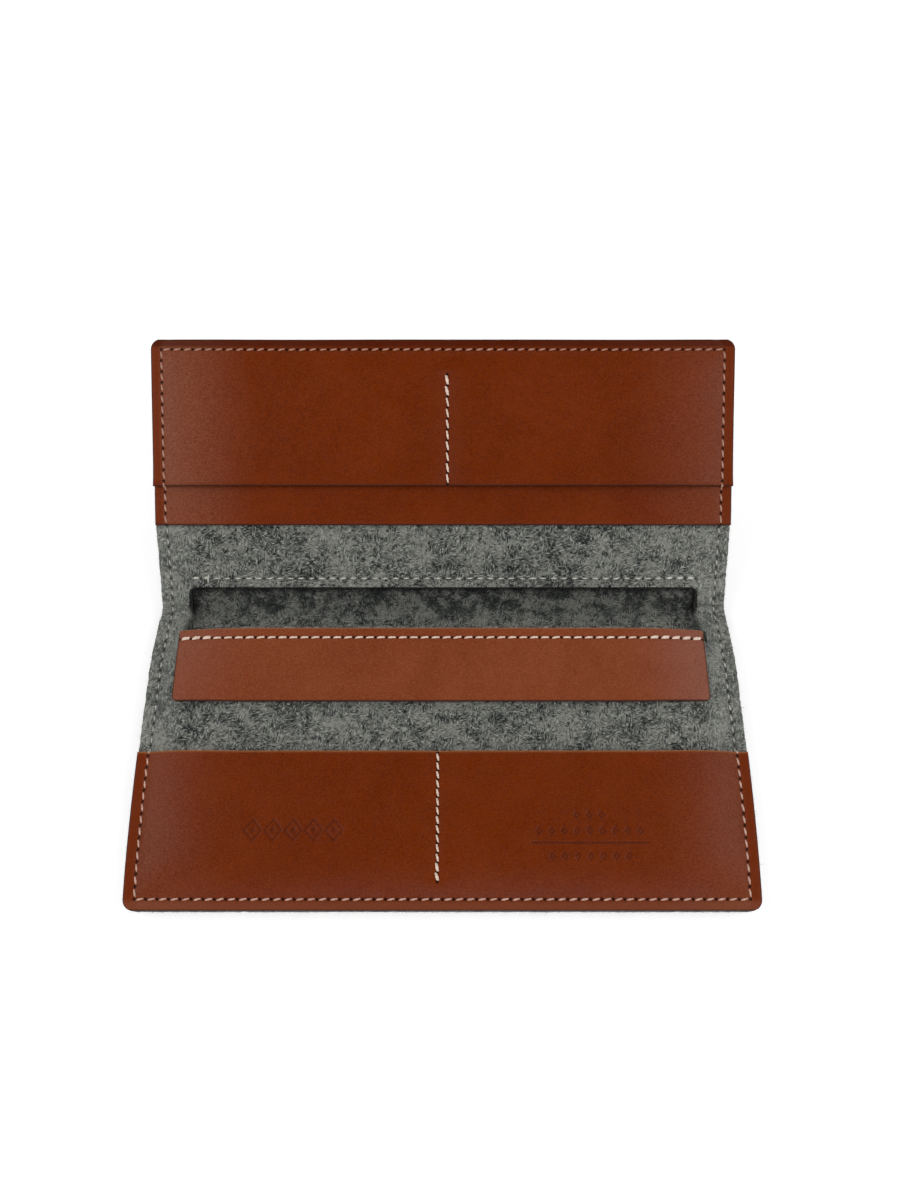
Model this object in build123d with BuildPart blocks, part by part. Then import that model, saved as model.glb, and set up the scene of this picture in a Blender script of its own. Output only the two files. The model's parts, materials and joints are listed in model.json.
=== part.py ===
"""Travel document organizer of wool felt and leather, standing half open.

Two felt sheets are sewn together round their edge. The lower leaf lies flat on the table, and the
upper leaf rises behind the crease. A window cut in the inner felt at the fold is the mouth of the
passport pocket in the lower leaf, and a leather strip is sewn along the pocket's free edge. Leather
panels make the card pockets: one on the lower leaf, and two stacked on the upper leaf.

Dimensions are in millimetres and angles in degrees. X runs along the fold, -Y towards the lower
leaf's outer edge, and +Z is up. A place on the sheets is given by its run, the distance from the
fold's middle line along the line where the two felts meet (positive on the upper leaf), and by its
rise, the distance from that line towards the inside of the organizer.
"""

from build123d import *

import os
from math import cos, radians, sin, sqrt

# Felt sheets
WIDTH = 200.0
LOWER_REACH = 99.0  # fold's middle line to the lower leaf's outer edge
UPPER_REACH = 97.5
CORNER = 3.5
FELT = 3.0
LEATHER = 1.2

# Resting posture
CREASE_RUN = 3.5  # where the sheets start to rise
CREASE_RADIUS = 4.5
CREASE_TURN = 37.0
LEAN_RUN = 30.0  # where the upper leaf starts to lean back
LEAN_LENGTH = 8.0
LEAN_TURN = -11.5
HINGE_RUN = 14.0  # the fold's two outer bend lines

# Passport pocket
PASSPORT_ROOM = 4.5  # clear height between the felts
FLANGE = 5.0  # flat sewn border round the pocket's raised middle
LIP_EDGE = 7.5  # run of the pocket's free edge, on the lower leaf
LIP_LIFT = 4.8  # how far that edge stands above the raised middle
LIP_RAMP = 25.5
WINDOW_HALF = 90.0
WINDOW_EDGE = 11.7  # run of the window's upper edge, on the upper leaf
WINDOW_SEAM = 15.0

# Leather strip on the pocket's free edge
STRIP_HALF = 89.5
STRIP_WIDTH = 25.0
STRIP_SEWN = 4.0  # the rest hangs as a flap
STRIP_SEAM = 3.0
STRIP_CORNER = 2.0

# Leather card pockets, their heights taken from the leaf's outer edge
LOWER_POCKET = 49.5
REAR_POCKET = 63.0
FRONT_POCKET = 50.0
CARD_ROOM = 0.9  # gap for cards behind a panel
REAR_ROOM = 0.5
LOWER_BORDER = 4.1  # sewn border of each panel
REAR_BORDER = 6.0
FRONT_BORDER = 4.0

# Seams
SEAM_INSET = 3.5
PITCH = 3.7
STITCH_LENGTH = 2.6
THREAD = 0.8
THREAD_HEIGHT = 0.4
LOWER_DIVIDER_X = -1.6
UPPER_DIVIDER_X = 1.5
LOWER_DIVIDER_MARGIN = 8.5  # from the leaf's outer edge to the end of the divider seam
UPPER_DIVIDER_MARGIN = 12.0
STRIP_SEAM_MARGIN = 2.0

CLEAR = 0.3  # between bodies that move past each other

HALF = WIDTH / 2
SEAM_X = HALF - SEAM_INSET
CREASE_LENGTH = CREASE_RADIUS * radians(CREASE_TURN)
BENDS = ((CREASE_RUN, CREASE_LENGTH, CREASE_TURN), (LEAN_RUN, LEAN_LENGTH, LEAN_TURN))
LOWER_MOUTH = LOWER_POCKET - LOWER_REACH
REAR_MOUTH = UPPER_REACH - REAR_POCKET
FRONT_MOUTH = UPPER_REACH - FRONT_POCKET
REAR_TOP = FELT + LEATHER + REAR_ROOM
FRONT_TOP = REAR_TOP + CARD_ROOM + LEATHER
POCKET_TOP = FELT + PASSPORT_ROOM + FELT  # z of the passport pocket's raised middle
PANEL_TOP = POCKET_TOP + CARD_ROOM + LEATHER
THINNING = sqrt(2) - 1  # of a layer's foot where it climbs at 45 degrees


def seam_line(run):
    """Returns y and z, from the fold's middle line, and the direction of the seam line at a run."""
    y, z, angle, here = 0.0, FELT, 0.0, 0.0
    for start, length, turn in BENDS:
        ahead = min(run, start) - here
        y += ahead * cos(radians(angle))
        z += ahead * sin(radians(angle))
        if run <= start:
            return y, z, angle
        bent = turn * min(run - start, length) / length
        chord = 2 * length / radians(turn) * sin(radians(bent) / 2)
        y += chord * cos(radians(angle + bent / 2))
        z += chord * sin(radians(angle + bent / 2))
        angle += bent
        here = start + length
        if run <= here:
            return y, z, angle
    ahead = run - here
    return y + ahead * cos(radians(angle)), z + ahead * sin(radians(angle)), angle


# The origin is under the middle of the bounding box, so the fold's middle line stands in front of it.
edge_y, _, LEAF_ANGLE = seam_line(UPPER_REACH)
FOLD_Y = (LOWER_REACH - edge_y - FELT * sin(radians(LEAF_ANGLE))) / 2


def place(run, rise):
    """Returns the point (y, z) at a run and a rise."""
    y, z, angle = seam_line(run)
    return FOLD_Y + y - rise * sin(radians(angle)), z + rise * cos(radians(angle))


def trace(first, last, rise):
    """Draws the line at one rise from one run to another, with an arc at each bend."""
    low, high = min(first, last), max(first, last)
    ends = [run for start, length, _ in BENDS for run in (start, start + length)]
    stops = [low] + [run for run in ends if low < run < high] + [high]
    if first > last:
        stops.reverse()
    for here, there in zip(stops, stops[1:]):
        middle = (here + there) / 2
        if any(start < middle < start + length for start, length, _ in BENDS):
            ThreePointArc(place(here, rise), place(middle, rise), place(there, rise))
        else:
            Line(place(here, rise), place(there, rise))


def sheet(first, last, low, high, left=-HALF, right=HALF, mode=Mode.ADD):
    """Extrudes a sheet that follows the seam line between two runs, two rises and two x."""
    with BuildSketch(Plane.YZ.offset(left)) as section:
        with BuildLine():
            trace(first, last, low)
            Line(place(last, low), place(last, high))
            trace(last, first, high)
            Line(place(first, high), place(first, low))
        make_face()
    extrude(section.sketch, amount=right - left, mode=mode)


def side_strips(first, last, low, high, inner):
    """Extrudes a sheet along each side margin, from the x named inner to the leaf's edge."""
    sheet(first, last, low, high, -HALF, -inner)
    sheet(first, last, low, high, inner, HALF)


def round_corners(reach):
    """Rounds the two outer corners of the leaf whose outer edge is at the run named reach."""
    _, _, angle = seam_line(reach)
    upright = Axis((0, 0, 0), (0, -sin(radians(angle)), cos(radians(angle))))
    ranked = edges().filter_by(upright).sort_by(Axis.Y, reverse=reach > 0)
    fillet(ranked[:2], CORNER)


def mound(inset, low, top, mouth, lift=0.0):
    """Block on the lower leaf from z=low to z=top, upright at its mouth.

    Its other sides climb at 45 degrees from the inset, and its mouth end ramps up by the lift.
    """
    rise = top - low
    outer = FOLD_Y - LOWER_REACH + inset
    front = FOLD_Y + mouth
    foot = HALF - inset
    with BuildPart() as block:
        with BuildSketch(Plane.YZ.offset(-HALF)):
            with BuildLine():
                corners = [(outer, low), (outer + rise, top), (front - LIP_RAMP, top)]
                Polyline(*corners, (front, top + lift), (front, low), close=True)
            make_face()
        extrude(amount=WIDTH)
        with BuildSketch(Plane.XZ.offset(-front)):
            with BuildLine():
                narrow = foot - rise - lift
                corners = [(-foot, low), (-narrow, top + lift), (narrow, top + lift), (foot, low)]
                Polyline(*corners, close=True)
            make_face()
        extrude(amount=front - outer, mode=Mode.INTERSECT)
    return block.part


def upper_panel(mouth, base, room, border):
    """Draws a leather panel of the upper leaf, raised by its room inside its sewn border."""
    top = base + LEATHER
    middle = HALF - border
    recess = middle - LEATHER
    sheet(mouth, UPPER_REACH, base, top)
    round_corners(UPPER_REACH)
    sheet(mouth, UPPER_REACH - border, top, top + room, -middle, middle)
    recess_end = UPPER_REACH - border - LEATHER
    sheet(mouth, recess_end, base, base + room, -recess, recess, mode=Mode.SUBTRACT)


def stations(first, last):
    """Middles of the stitches that fill a seam at the whole pitch nearest to its own."""
    count = round(abs(last - first) / PITCH)
    step = (last - first) / count
    return [first + step * (i + 0.5) for i in range(count)]


def stitch_plane(x, run, rise, across=False):
    """Plane of one stitch, along the leaf or across it."""
    y, z = place(run, rise)
    _, _, angle = seam_line(run)
    normal = (0, -sin(radians(angle)), cos(radians(angle)))
    heading = (1, 0, 0) if across else (0, cos(radians(angle)), sin(radians(angle)))
    return Plane(origin=(x, y, z), x_dir=heading, z_dir=normal)


def side_planes(first, last, rise):
    """Stitch planes of both side seams between two runs."""
    return [stitch_plane(x, run, rise) for x in (-SEAM_X, SEAM_X) for run in stations(first, last)]


def end_planes(run, rise):
    """Stitch planes of the seam along a leaf's outer edge."""
    reach = SEAM_X - THREAD
    return [stitch_plane(x, run, rise, across=True) for x in stations(-reach, reach)]


def sew(planes):
    """Extrudes a stitch on each plane."""
    with BuildSketch(*planes) as outlines:
        SlotOverall(STITCH_LENGTH, THREAD)
    extrude(outlines.sketch, amount=THREAD_HEIGHT)


# Outer felt, one sheet from edge to edge, in a length for each body that bends at the fold
with BuildPart() as outer_felt_lower:
    sheet(-LOWER_REACH, -HINGE_RUN, -FELT, 0)
    round_corners(-LOWER_REACH)

with BuildPart() as outer_felt_fold_lower:
    sheet(-HINGE_RUN, 0, -FELT, 0)

with BuildPart() as outer_felt_fold_upper:
    sheet(0, HINGE_RUN, -FELT, 0)

with BuildPart() as outer_felt_upper:
    sheet(HINGE_RUN, UPPER_REACH, -FELT, 0)
    round_corners(UPPER_REACH)

# Inner felt, raised over the passport pocket and cut away at the window
pocket_mound = mound(FLANGE, 2 * FELT, POCKET_TOP, -LIP_EDGE, LIP_LIFT)
passport_space = mound(FLANGE + FELT * THINNING, FELT, POCKET_TOP - FELT, -LIP_EDGE, LIP_LIFT)

with BuildPart() as inner_felt_lower:
    sheet(-LOWER_REACH, -HINGE_RUN, 0, FELT)
    round_corners(-LOWER_REACH)
    add(pocket_mound)
    add(passport_space, mode=Mode.SUBTRACT)

with BuildPart() as inner_felt_fold_lower:
    side_strips(-HINGE_RUN, -LIP_EDGE + CLEAR, 0, FELT, HALF - FLANGE + CLEAR)
    side_strips(-LIP_EDGE + CLEAR, 0, 0, FELT, WINDOW_HALF)

with BuildPart() as inner_felt_fold_upper:
    side_strips(0, HINGE_RUN, 0, FELT, WINDOW_HALF)

with BuildPart() as inner_felt_upper:
    sheet(HINGE_RUN, UPPER_REACH, 0, FELT)
    round_corners(UPPER_REACH)
    window_reach = WINDOW_HALF - CLEAR
    sheet(WINDOW_EDGE, HINGE_RUN, 0, FELT, -window_reach, window_reach)

# Leather card pockets
panel_mound = mound(LOWER_BORDER, 2 * FELT + LEATHER, PANEL_TOP, LOWER_MOUTH)
card_space = mound(LOWER_BORDER + LEATHER * THINNING, 2 * FELT, PANEL_TOP - LEATHER, LOWER_MOUTH)

with BuildPart() as lower_pocket_panel:
    sheet(-LOWER_REACH, LOWER_MOUTH, FELT, FELT + LEATHER)
    round_corners(-LOWER_REACH)
    add(panel_mound)
    add(card_space, mode=Mode.SUBTRACT)

with BuildPart() as rear_pocket_panel:
    upper_panel(REAR_MOUTH, FELT, REAR_ROOM, REAR_BORDER)

with BuildPart() as front_pocket_panel:
    upper_panel(FRONT_MOUTH, FELT + LEATHER, REAR_ROOM + CARD_ROOM, FRONT_BORDER)

# Leather strip, on the ramp of the passport pocket's free edge
RAMP_LENGTH = sqrt(LIP_RAMP**2 + LIP_LIFT**2)
strip_plane = Plane(
    origin=(0, FOLD_Y - LIP_EDGE, POCKET_TOP + LIP_LIFT),
    x_dir=(-1, 0, 0),
    z_dir=(0, -LIP_LIFT / RAMP_LENGTH, LIP_RAMP / RAMP_LENGTH),
)

with BuildPart() as strip_band:
    with BuildSketch(strip_plane):
        with Locations((0, STRIP_SEWN / 2)):
            Rectangle(2 * STRIP_HALF, STRIP_SEWN)
    extrude(amount=LEATHER)

with BuildPart() as strip_flap:
    with BuildSketch(strip_plane.offset(CLEAR)) as flap_outline:
        flap_start = STRIP_SEWN + CLEAR
        with Locations((0, (flap_start + STRIP_WIDTH) / 2)):
            Rectangle(2 * STRIP_HALF, STRIP_WIDTH - flap_start)
        fillet(flap_outline.vertices().group_by(Axis.Y)[-1], STRIP_CORNER)
    extrude(amount=LEATHER)

# Thread, the stitches that show on the inside
LOWER_SEAM = -LOWER_REACH + SEAM_INSET
UPPER_SEAM = UPPER_REACH - SEAM_INSET

with BuildPart() as edge_seam_lower:
    sew(side_planes(LOWER_SEAM, LOWER_MOUTH, FELT + LEATHER))
    sew(side_planes(LOWER_MOUTH, -HINGE_RUN, FELT))
    sew(end_planes(LOWER_SEAM, FELT + LEATHER))

with BuildPart() as edge_seam_fold_lower:
    sew(side_planes(-HINGE_RUN, 0, FELT))

with BuildPart() as edge_seam_fold_upper:
    sew(side_planes(0, CREASE_RUN, FELT))
    sew(side_planes(CREASE_RUN + CREASE_LENGTH, HINGE_RUN, FELT))

with BuildPart() as edge_seam_upper:
    sew(side_planes(HINGE_RUN, REAR_MOUTH, FELT))
    sew(side_planes(REAR_MOUTH, FRONT_MOUTH, FELT + LEATHER))
    sew(side_planes(FRONT_MOUTH, UPPER_SEAM, FELT + 2 * LEATHER))
    sew(end_planes(UPPER_SEAM, FELT + 2 * LEATHER))

with BuildPart() as lower_divider_seam:
    divider_end = -LOWER_REACH + LOWER_DIVIDER_MARGIN
    lower_runs = stations(divider_end, LOWER_MOUTH)
    sew([stitch_plane(LOWER_DIVIDER_X, run, PANEL_TOP - FELT) for run in lower_runs])

with BuildPart() as upper_divider_seam:
    upper_runs = stations(FRONT_MOUTH, UPPER_REACH - UPPER_DIVIDER_MARGIN)
    sew([stitch_plane(UPPER_DIVIDER_X, run, FRONT_TOP) for run in upper_runs])

with BuildPart() as window_seam:
    reach = WINDOW_HALF - THREAD
    sew([stitch_plane(x, WINDOW_SEAM, FELT, across=True) for x in stations(-reach, reach)])

with BuildPart() as strip_seam:
    with BuildSketch(strip_plane.offset(LEATHER)):
        reach = STRIP_HALF - STRIP_SEAM_MARGIN
        with Locations(*[(x, STRIP_SEAM) for x in stations(-reach, reach)]):
            SlotOverall(STITCH_LENGTH, THREAD)
    extrude(amount=THREAD_HEIGHT)

pieces = {
    "outer_felt_lower": outer_felt_lower,
    "outer_felt_fold_lower": outer_felt_fold_lower,
    "outer_felt_fold_upper": outer_felt_fold_upper,
    "outer_felt_upper": outer_felt_upper,
    "inner_felt_lower": inner_felt_lower,
    "inner_felt_fold_lower": inner_felt_fold_lower,
    "inner_felt_fold_upper": inner_felt_fold_upper,
    "inner_felt_upper": inner_felt_upper,
    "lower_pocket_panel": lower_pocket_panel,
    "rear_pocket_panel": rear_pocket_panel,
    "front_pocket_panel": front_pocket_panel,
    "strip_band": strip_band,
    "strip_flap": strip_flap,
    "edge_seam_lower": edge_seam_lower,
    "edge_seam_fold_lower": edge_seam_fold_lower,
    "edge_seam_fold_upper": edge_seam_fold_upper,
    "edge_seam_upper": edge_seam_upper,
    "lower_divider_seam": lower_divider_seam,
    "upper_divider_seam": upper_divider_seam,
    "window_seam": window_seam,
    "strip_seam": strip_seam,
}

os.makedirs("parts", exist_ok=True)
for name, piece in pieces.items():
    piece.part.label = name
    export_step(piece.part, f"parts/{name}.step")
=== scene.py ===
"""Looks of the travel document organizer: wool felt, leather and thread round its CAD frame.

Shapes are worked out on the flat cut, in millimetres: x along the fold, run from the fold's middle
line along the line where the two felts meet (positive on the upper leaf), and rise from that line
towards the inside. place() takes them to metres in the row frame.
"""

import functools
import json
import math

import bpy
import numpy as np
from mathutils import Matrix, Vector


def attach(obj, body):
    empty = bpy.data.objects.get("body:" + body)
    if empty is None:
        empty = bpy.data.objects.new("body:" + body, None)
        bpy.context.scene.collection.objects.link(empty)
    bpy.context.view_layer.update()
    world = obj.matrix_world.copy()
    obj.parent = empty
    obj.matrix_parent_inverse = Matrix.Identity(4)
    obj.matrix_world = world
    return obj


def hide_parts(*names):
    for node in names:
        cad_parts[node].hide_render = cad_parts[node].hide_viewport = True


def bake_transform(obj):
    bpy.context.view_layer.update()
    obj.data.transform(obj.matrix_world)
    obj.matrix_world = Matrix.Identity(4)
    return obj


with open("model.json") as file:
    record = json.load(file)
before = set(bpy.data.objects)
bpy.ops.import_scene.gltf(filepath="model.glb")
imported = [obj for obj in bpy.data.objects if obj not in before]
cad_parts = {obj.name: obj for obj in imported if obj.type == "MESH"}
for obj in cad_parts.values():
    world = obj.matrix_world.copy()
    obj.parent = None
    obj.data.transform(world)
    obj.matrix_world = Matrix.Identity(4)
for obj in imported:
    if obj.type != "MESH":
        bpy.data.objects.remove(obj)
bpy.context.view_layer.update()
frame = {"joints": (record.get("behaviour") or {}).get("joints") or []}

MM = 0.001
JOINTS = {joint["name"]: joint for joint in frame["joints"]}
rng = np.random.default_rng(7)

# The flat cut: half its width, and how far the leaves reach from the fold's middle line
HALF = 100.0
LOWER_REACH = 99.0
UPPER_REACH = 97.5
CORNER = 3.5
FELT = 3.0
LEATHER = 1.2
FELT_EDGE = 0.5  # how far the cut edges are rounded
LEATHER_EDGE = 0.45
FRAY = 0.11  # unevenness of the felt's cut edge
CLEAR = 0.1  # how far the leather's side cuts, and the strip's sewn edge, stand back from the felt's
CUT_BACK = 0.05  # the same at a panel's ends

# The fold: its hinges, the crease, and where the upper leaf leans back
FOLD_Y = JOINTS["fold_middle"]["pos_m"][1] / MM
HINGE_RUN = 14.0
BLEND_REACH = 4.5  # half the length that bends at a hinge
CREASE_RUN = 3.5
CREASE_LENGTH = 2.9
CREASE_TURN = 37.0  # degrees
LEAN_RUN = 30.0
LEAN_LENGTH = 8.0
LEAN_TURN = -11.5

# Passport pocket, window and strip
ROOM = 4.5
LIP_EDGE = -7.5
LIP_LIFT = 4.8
LIP_RAMP = 25.5
WINDOW_HALF = 90.0
WINDOW_EDGE = 12.9
WINDOW_CORNER = 3.0
STRIP_HALF = 89.5
STRIP_FOOT = -32.5
STRIP_HINGE = -11.5
STRIP_BEND = 4.0  # length of the strip that bends as it lifts
STRIP_CORNERS = (1.6, 0.5)  # radii at the loose edge and at the sewn edge
STRIP_STRETCH = 1.006  # the strip as sewn is a little wider, and shifted across and along
STRIP_SHIFT = (-0.6, -0.5)

# Leather panels
LOWER_MOUTH = -49.5
REAR_MOUTH = 34.5
FRONT_MOUTH = 47.5
LOWER_DIVIDER_X = -1.6
UPPER_DIVIDER_X = 1.5
LOWER_DIVIDER_END = -90.5
UPPER_DIVIDER_END = 85.5

# Ornament pressed in the lower panel: rows of lozenges (centre, run, half width, pitch, size, line)
# and one rule (centre, run, half width, line)
ORNAMENT_X = (-47.0, 46.4)
ORNAMENT_RUN = -77.0
LOZENGES = (
    (ORNAMENT_X[0], -75.0, 16.0, 6.4, 3.3, 0.35),
    (ORNAMENT_X[0], -75.0, 16.0, 6.4, 0.6, 0.50),
    (ORNAMENT_X[1], -70.3, 6.0, 4.0, 1.0, 0.35),
    (ORNAMENT_X[1], -75.2, 18.0, 4.0, 1.0, 0.35),
    (ORNAMENT_X[1], -82.9, 14.0, 4.0, 1.0, 0.35),
)
LOZENGE_SLOPE = 1.25
RULE = (ORNAMENT_X[1], -78.9, 18.5, 0.2)
ORNAMENT_DEPTH = 0.26
ORNAMENT_STEP = 0.33  # grid step under the ornament
ORNAMENT_SOFT = 0.3  # width over which a pressed line fades

# Seams
PITCH = 3.563
END_STITCHES = 54
SEAM_X = END_STITCHES / 2 * PITCH
LOWER_SEAM = -95.5
UPPER_SEAM = 94.0
SIDE_STITCHES = 51
SIDE_PITCH = (UPPER_SEAM - LOWER_SEAM) / SIDE_STITCHES
WINDOW_SEAM = 15.8
WINDOW_SEAM_HALF = WINDOW_HALF - 0.8
STRIP_SEAM = -11.0
STRIP_SEAM_HALF = STRIP_HALF - 0.9
CROSS_STITCHES = 48  # in the window's seam and in the strip's
# Divider seams: x, first and last hole, number of stitches
LOWER_DIVIDER = (LOWER_DIVIDER_X, LOWER_DIVIDER_END, LOWER_MOUTH - 0.8, 14)
UPPER_DIVIDER = (UPPER_DIVIDER_X, FRONT_MOUTH + 0.8, UPPER_DIVIDER_END, 10)
THREAD = 0.31  # radius
HOLE = 0.42  # radius
FELT_SINK = 0.22  # how far stitches sink in felt
STITCH_START = 0.05  # a stitch's own length counts from here, below zero on the outside face
LOOSE_TACK = ([[-83.2, 14.0]], [[-82.6, 17.4]])  # one stray stitch across the window's seam

# Where the sheets are cut into pieces: halfway between the hinges, and beside the passport pocket
SPLIT = HINGE_RUN / 2
TRAY_SPLIT_X = 91.0
TRAY_SPLIT_RUN = -30.0


def unit(vectors):
    """Vectors of length one."""
    return vectors / np.linalg.norm(vectors, axis=-1, keepdims=True)


def smooth(t):
    """Eases from 0 to 1."""
    t = np.clip(t, 0.0, 1.0)
    return t * t * (3 - 2 * t)


def pillow(distance, width):
    """Rises from 0 at a seam to 1 at the width, steeply at first."""
    t = np.clip(distance / width, 0.0, 1.0)
    return 1 - (1 - t) ** 2


def trough(distance, width):
    """1 on a line and 0 away from it."""
    return np.exp(-((distance / width) ** 2))


# The seam line's path in the plane across the fold
path_run = np.linspace(-110.0, 110.0, 8801)
path_angle = np.radians(
    CREASE_TURN * np.clip((path_run - CREASE_RUN) / CREASE_LENGTH, 0, 1)
    + LEAN_TURN * np.clip((path_run - LEAN_RUN) / LEAN_LENGTH, 0, 1)
)
path_step = path_run[1] - path_run[0]
path_y = np.cumsum(np.cos(path_angle)) * path_step
path_z = np.cumsum(np.sin(path_angle)) * path_step
path_y -= np.interp(0.0, path_run, path_y)
path_z += FELT - np.interp(0.0, path_run, path_z)


def curl(x, run):
    """How far the lower leaf's side margins stand off the table."""
    along = (1 - np.exp(-(run + LOWER_REACH) / 22)) * (1 - np.exp((run - 1) / 9))
    return 4.0 * np.clip(along, 0, 1) * smooth((np.abs(x) - 66) / 36)


def ripple(x, run):
    """Slight unevenness of the hand-cut sheets."""
    wave = np.sin(x / 17 + 1.3) * np.sin(run / 13 + 0.4) + 0.6 * np.sin(x / 9.1 - run / 11.3)
    return 0.13 * wave


def corner_cut(run):
    """How much a row near a leaf's outer edge is shortened by its rounded corners."""
    inward = np.minimum(run + LOWER_REACH, UPPER_REACH - run)
    short = np.clip(CORNER - inward, 0, CORNER)
    return CORNER - np.sqrt(CORNER**2 - short**2)


def leaf_outline(x, run):
    """Takes the square cut to the leaf's outline: round corners, slightly bowed sides."""
    bow = 0.5 * np.sin(np.pi * np.clip((run + LOWER_REACH) / LOWER_REACH, 0, 1))
    return x * (1 + (bow - corner_cut(run)) / HALF), run


def window_outline(x, run):
    """The leaf's outline, with the window's two upper corners rounded."""
    side = np.abs(x)
    reach = np.clip(side - WINDOW_HALF + WINDOW_CORNER, 0, WINDOW_CORNER)
    drop = WINDOW_CORNER - np.sqrt(WINDOW_CORNER**2 - reach**2)
    drop *= 1 - smooth((side - WINDOW_HALF) / 3)
    below = smooth((run - 1) / (WINDOW_EDGE - 1))
    above = 1 - smooth((run - WINDOW_EDGE) / 3)
    taper = 0.9 * smooth((4 - run) / 5) - 0.35 * trough(run - 5.5, 3)
    taper *= smooth((run + 5) / 5) * smooth((97 - side) / 7)
    return leaf_outline(x - np.sign(x) * taper, run - drop * np.where(run < WINDOW_EDGE, below, above))


def tray_outline(x, run):
    """The window's outline, with the pocket's lip set back under the strip's ends."""
    side = np.abs(x)
    set_back = 2.4 * smooth((side - 70) / 14) + 1.6 * smooth((side - 86) / 5)
    return window_outline(x, run - set_back * smooth((run + 16) / 8.5))


def place(x, run, rise, outline=leaf_outline):
    """Points in metres, in the row frame, of places on the flat cut."""
    wide, run = outline(x, run)
    angle = np.interp(run, path_run, path_angle)
    upper = smooth((run - 18) / 12)
    rise = rise + ripple(x, run) * upper
    y = FOLD_Y + np.interp(run, path_run, path_y) - rise * np.sin(angle)
    z = np.interp(run, path_run, path_z) + rise * np.cos(angle) + curl(x, run)
    return np.stack([wide, y, z], axis=-1) * MM


def spot(run, rise=0.0):
    """One point in the middle of the sheets, as a tuple."""
    return tuple(float(c) for c in place(np.array(0.0), np.array(run), np.array(rise)))


# ---- Rises of each layer ----


def seam_margin(x, run):
    """Distances to the side seam and to the leaf's end seam."""
    side = SEAM_X - np.abs(x)
    end = np.where(run < 0, run - LOWER_SEAM, UPPER_SEAM - run)
    return side, end


def press(x, run):
    """How much the edge seam draws the layers together, from 0 to 1."""
    side, end = seam_margin(x, run)
    on_side = trough(side, 1.3)
    on_end = trough(end, 1.3) * (np.abs(x) < SEAM_X + 1)
    return np.maximum(on_side, on_end)


def outer_low(x, run):
    """Outer felt's outside face."""
    return -FELT + 0.55 * press(x, run)


def outer_high(x, run):
    """Outer felt's inside face."""
    return np.zeros_like(x) - 0.02


def passport_room(x, run):
    """Gap between the felts over the passport pocket."""
    side, end = seam_margin(x, run)
    body = ROOM * pillow(side, 26) * pillow(end, 20)
    ramp = np.clip((run - LIP_EDGE + LIP_RAMP) / LIP_RAMP, 0, 1) ** 1.2
    lip = LIP_LIFT * ramp * (1 - 0.55 * smooth((np.abs(x) - 62) / 34))
    corner = 1 - smooth((run + 24) / 15) * smooth((np.abs(x) - 88) / 6)
    crease = 1 - smooth((run + 9) / 15)
    return np.where(run < 6, (body + lip) * corner * crease, 0.0)


def peel(x, run):
    """How far the inner felt stands off round the window."""
    side = np.abs(x)
    above = 1.3 * smooth((WINDOW_SEAM + 0.6 - run) / 3) * smooth((run - 6) / 5) * smooth((92 - side) / 5)
    beside = 0.7 * smooth((95.5 - side) / 5) * smooth((run + 3) / 6) * smooth((17 - run) / 3)
    return np.maximum(above, beside)


def inner_low(x, run):
    """Inner felt's hidden face."""
    return passport_room(x, run) + peel(x, run) + 0.02


def inner_high(x, run):
    """Inner felt's inside face."""
    window = 0.5 * trough(run - WINDOW_SEAM, 1.3) * (np.abs(x) < WINDOW_HALF)
    return inner_low(x, run) + FELT - 0.5 * press(x, run) - window


def lower_panel_low(x, run):
    """Hidden face of the lower panel."""
    side, end = seam_margin(x, run)
    divider = np.where(run > LOWER_DIVIDER_END, pillow(np.abs(x - LOWER_DIVIDER_X), 9), 1)
    gap = 0.85 * pillow(side, 18) * pillow(end, 14) * (0.12 + 0.88 * divider)
    return passport_room(x, run) + FELT + 0.06 + gap


def pressed(x, run):
    """Depth of the lower panel's ornament, from 0 to 1."""
    centre, line_run, half_width, line = RULE
    across = smooth((line - np.abs(run - line_run)) / ORNAMENT_SOFT + 1)
    depth = across * smooth((half_width - np.abs(x - centre)) / ORNAMENT_SOFT + 1)
    for centre, line_run, half_width, pitch, size, line in LOZENGES:
        step = (x - centre) / pitch
        reach = np.abs(step - np.round(step)) * pitch * LOZENGE_SLOPE + np.abs(run - line_run)
        shape = smooth((line - np.abs(reach - size)) / ORNAMENT_SOFT + 1)
        shape *= np.abs(x - centre) < half_width
        depth = np.maximum(depth, shape)
    return depth


def rear_panel_low(x, run):
    """Hidden face of the rear panel."""
    side, end = seam_margin(x, run)
    divider = np.where(run < UPPER_DIVIDER_END, pillow(np.abs(x - UPPER_DIVIDER_X), 9), 1)
    return FELT + 0.06 + 0.4 * pillow(side, 10) * pillow(end, 10) * (0.1 + 0.9 * divider)


def front_panel_low(x, run):
    """Hidden face of the front panel, which gapes a little at its mouth."""
    side, end = seam_margin(x, run)
    divider = np.where(run < UPPER_DIVIDER_END, pillow(np.abs(x - UPPER_DIVIDER_X), 10), 1)
    room = 0.85 * pillow(side, 12) * pillow(end, 12) * (0.1 + 0.9 * divider)
    lean = 0.55 + 0.45 * np.sin(x / 31 - 0.4)
    gape = 1.1 * lean * np.exp(-(run - FRONT_MOUTH) / 5) * pillow(side, 30) * divider
    gape += 0.8 * smooth(-side / 2.5) * np.exp(-(run - FRONT_MOUTH) / 3)
    return rear_panel_low(x, run) + LEATHER + 0.05 + room + gape


def panel_high(low):
    """Visible face of a panel, drawn down along the edge seam."""
    return lambda x, run: low(x, run) + LEATHER - 0.22 * press(x, run)


def lower_panel_high(x, run):
    """Visible face of the lower panel, with its pressed ornament."""
    return panel_high(lower_panel_low)(x, run) - ORNAMENT_DEPTH * pressed(x, run)


def strip_low(x, run):
    """Hidden face of the strip, a little lifted at its loose edge."""
    loose = smooth((STRIP_HINGE - run) / 20)
    return passport_room(x, run) + FELT + 0.08 + 0.75 * loose


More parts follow.
